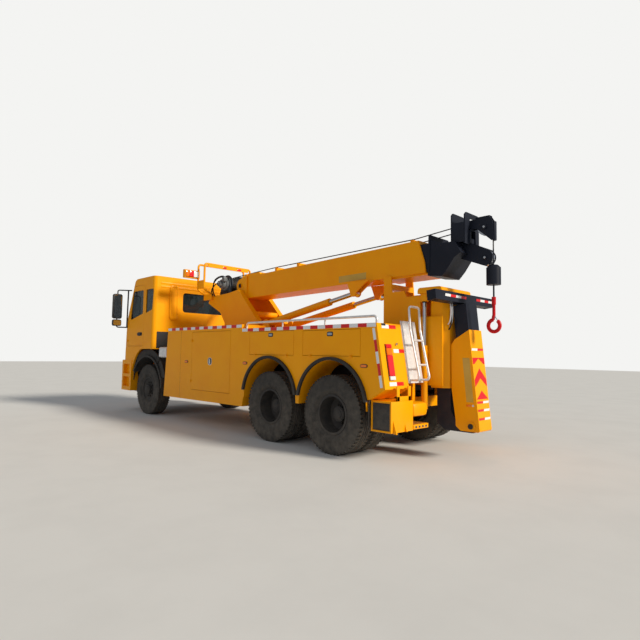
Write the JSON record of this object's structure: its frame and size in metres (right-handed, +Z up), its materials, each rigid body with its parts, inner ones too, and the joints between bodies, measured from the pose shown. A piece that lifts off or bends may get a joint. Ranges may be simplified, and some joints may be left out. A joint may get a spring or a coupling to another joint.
{
  "type": "recovery truck",
  "caption": "Heavy recovery truck in orange-yellow paint with a telescopic boom, hook, winches and a folding underlift",
  "frame": {"origin": "middle of the bounding box at ground level", "axes": "+X forward, +Y to the truck's left, +Z up"},
  "size_m": [8.904, 3.08, 3.345],
  "materials": {
    "yellow_paint": "gloss",
    "chassis_black": "satin",
    "engine_grey": "matte",
    "light_grey": "satin",
    "glass": "clear",
    "dark_plastic": "matte",
    "lamp_lens": "gloss",
    "black_rubber": "matte",
    "tyre": "matte",
    "rim_paint": "satin",
    "silver_paint": "satin",
    "winch_grey": "satin",
    "head_black": "satin",
    "red_paint": "gloss",
    "chrome": "polished"
  },
  "bodies": {
    "chassis": {"frame_rails": "chassis_black", "front_axle": "chassis_black", "leaf_springs": "chassis_black", "rear_axles": "chassis_black", "engine_and_shafts": "engine_grey", "tanks_and_intake": "light_grey", "cab_shell": "yellow_paint", "cab_glass": "glass", "cab_interior": "dark_plastic", "front_grille": "dark_plastic", "bumper": "yellow_paint", "lamps": "lamp_lens", "mudguards": "black_rubber", "mirrors": "dark_plastic", "tool_body_left": "yellow_paint", "tool_body_right": "yellow_paint", "deck": "yellow_paint", "ladders_and_rails": "silver_paint", "boom_stand": "yellow_paint", "winches": "winch_grey", "light_rack": "yellow_paint", "mast_frame": "yellow_paint", "rear_base": "yellow_paint"},
    "cab_door_left": {"door_left": "yellow_paint", "door_glass_left": "glass"},
    "cab_door_right": {"door_right": "yellow_paint", "door_glass_right": "glass"},
    "knuckle_left": {"knuckle_left": "chassis_black"},
    "knuckle_right": {"knuckle_right": "chassis_black"},
    "wheel_front_left": {"tyre_front_left": "tyre", "rim_front_left": "rim_paint"},
    "wheel_front_right": {"tyre_front_right": "tyre", "rim_front_right": "rim_paint"},
    "wheels_middle_left": {"tyres_middle_left": "tyre", "rims_middle_left": "rim_paint"},
    "wheels_middle_right": {"tyres_middle_right": "tyre", "rims_middle_right": "rim_paint"},
    "wheels_rear_left": {"tyres_rear_left": "tyre", "rims_rear_left": "rim_paint"},
    "wheels_rear_right": {"tyres_rear_right": "tyre", "rims_rear_right": "rim_paint"},
    "boom": {"boom": "yellow_paint"},
    "inner_boom": {"inner_boom": "head_black"},
    "hook": {"hook_weight": "head_black", "hook": "red_paint"},
    "lift_barrels": {"lift_barrels": "yellow_paint"},
    "lift_rods": {"lift_rods": "chrome"},
    "mast": {"mast_column": "yellow_paint", "mast_foot": "head_black"},
    "fold_arm": {"fold_arm": "yellow_paint"},
    "inner_arm": {"inner_arm": "head_black", "crossbar": "yellow_paint"},
    "tool_door_front_left": {"tool_door_front_left": "yellow_paint"},
    "tool_door_front_right": {"tool_door_front_right": "yellow_paint"},
    "tool_door_middle_left": {"tool_door_middle_left": "yellow_paint"},
    "tool_door_middle_right": {"tool_door_middle_right": "yellow_paint"},
    "tool_door_rear_left": {"tool_door_rear_left": "yellow_paint"},
    "tool_door_rear_right": {"tool_door_rear_right": "yellow_paint"}
  },
  "joints": [
    {"name": "steer_left", "type": "hinge", "parent": "chassis", "child": "knuckle_left", "pos_m": [3.092, 0.85, 0.54], "axis": [0, 0, 1], "range_deg": [-35, 35]},
    {"name": "wheel_spin_front_left", "type": "hinge", "parent": "knuckle_left", "child": "wheel_front_left", "pos_m": [3.092, 1.02, 0.54], "axis": [0, 1, 0], "continuous": true},
    {"name": "wheel_spin_middle_left", "type": "hinge", "parent": "chassis", "child": "wheels_middle_left", "pos_m": [-1.258, 0.93, 0.54], "axis": [0, 1, 0], "continuous": true},
    {"name": "wheel_spin_rear_left", "type": "hinge", "parent": "chassis", "child": "wheels_rear_left", "pos_m": [-2.608, 0.93, 0.54], "axis": [0, 1, 0], "continuous": true},
    {"name": "cab_door_left", "type": "hinge", "parent": "chassis", "child": "cab_door_left", "pos_m": [4.049, 1.237, 1.8], "axis": [0, 0, -1], "range_deg": [0, 70]},
    {"name": "tool_door_front_left", "type": "hinge", "parent": "chassis", "child": "tool_door_front_left", "pos_m": [1.089, 1.262, 1.2], "axis": [0, 0, -1], "range_deg": [0, 110]},
    {"name": "tool_door_middle_left", "type": "hinge", "parent": "chassis", "child": "tool_door_middle_left", "pos_m": [-1.288, 1.262, 1.338], "axis": [-1, 0, 0], "range_deg": [0, 90]},
    {"name": "tool_door_rear_left", "type": "hinge", "parent": "chassis", "child": "tool_door_rear_left", "pos_m": [-2.588, 1.262, 1.338], "axis": [-1, 0, 0], "range_deg": [0, 90]},
    {"name": "steer_right", "type": "hinge", "parent": "chassis", "child": "knuckle_right", "pos_m": [3.092, -0.85, 0.54], "axis": [0, 0, 1], "range_deg": [-35, 35]},
    {"name": "wheel_spin_front_right", "type": "hinge", "parent": "knuckle_right", "child": "wheel_front_right", "pos_m": [3.092, -1.02, 0.54], "axis": [0, 1, 0], "continuous": true},
    {"name": "wheel_spin_middle_right", "type": "hinge", "parent": "chassis", "child": "wheels_middle_right", "pos_m": [-1.258, -0.93, 0.54], "axis": [0, 1, 0], "continuous": true},
    {"name": "wheel_spin_rear_right", "type": "hinge", "parent": "chassis", "child": "wheels_rear_right", "pos_m": [-2.608, -0.93, 0.54], "axis": [0, 1, 0], "continuous": true},
    {"name": "cab_door_right", "type": "hinge", "parent": "chassis", "child": "cab_door_right", "pos_m": [4.049, -1.237, 1.8], "axis": [0, 0, 1], "range_deg": [0, 70]},
    {"name": "tool_door_front_right", "type": "hinge", "parent": "chassis", "child": "tool_door_front_right", "pos_m": [1.089, -1.262, 1.2], "axis": [0, 0, 1], "range_deg": [0, 110]},
    {"name": "tool_door_middle_right", "type": "hinge", "parent": "chassis", "child": "tool_door_middle_right", "pos_m": [-1.288, -1.262, 1.338], "axis": [1, 0, 0], "range_deg": [0, 90]},
    {"name": "tool_door_rear_right", "type": "hinge", "parent": "chassis", "child": "tool_door_rear_right", "pos_m": [-2.588, -1.262, 1.338], "axis": [1, 0, 0], "range_deg": [0, 90]},
    {"name": "boom_luff", "type": "hinge", "parent": "chassis", "child": "boom", "pos_m": [0.962, 0, 2.73], "axis": [0, 1, 0], "range_deg": [0, 35]},
    {"name": "boom_extend", "type": "slide", "parent": "boom", "child": "inner_boom", "axis": [-0.9999, 0, 0.014], "range_m": [0, 2.6]},
    {"name": "hook_plumb", "type": "hinge", "parent": "inner_boom", "child": "hook", "pos_m": [-4.258, 0, 2.775], "axis": [0, 1, 0], "range_deg": [-35, 0]},
    {"name": "lift_barrel_tilt", "type": "hinge", "parent": "chassis", "child": "lift_barrels", "pos_m": [-0.048, 0, 1.925], "axis": [0, 1, 0], "range_deg": [0, 42]},
    {"name": "lift_rod_stroke", "type": "slide", "parent": "lift_barrels", "child": "lift_rods", "axis": [-0.9829, 0, 0.1843], "range_m": [0, 0.74]},
    {"name": "mast_raise", "type": "slide", "parent": "chassis", "child": "mast", "axis": [0, 0, 1], "range_m": [-0.28, 0]},
    {"name": "arm_unfold", "type": "hinge", "parent": "mast", "child": "fold_arm", "pos_m": [-4.108, 0, 0.455], "axis": [0, -1, 0], "range_deg": [0, 96.3]},
    {"name": "arm_extend", "type": "slide", "parent": "fold_arm", "child": "inner_arm", "axis": [0.1097, 0, 0.994], "range_m": [0, 0.6]}
  ],
  "couplings": [
    {"joint": "steer_right", "follows": "steer_left", "ratio": 1},
    {"joint": "hook_plumb", "follows": "boom_luff", "ratio": -1},
    {"joint": "lift_barrel_tilt", "follows": "boom_luff", "ratio": 1.1723},
    {"joint": "lift_rod_stroke", "follows": "boom_luff", "m_per_rad": 1.1942},
    {"joint": "arm_unfold", "follows": "boom_extend", "rad_per_m": 0.64644},
    {"joint": "arm_extend", "follows": "boom_extend", "ratio": 0.23077}
  ]
}
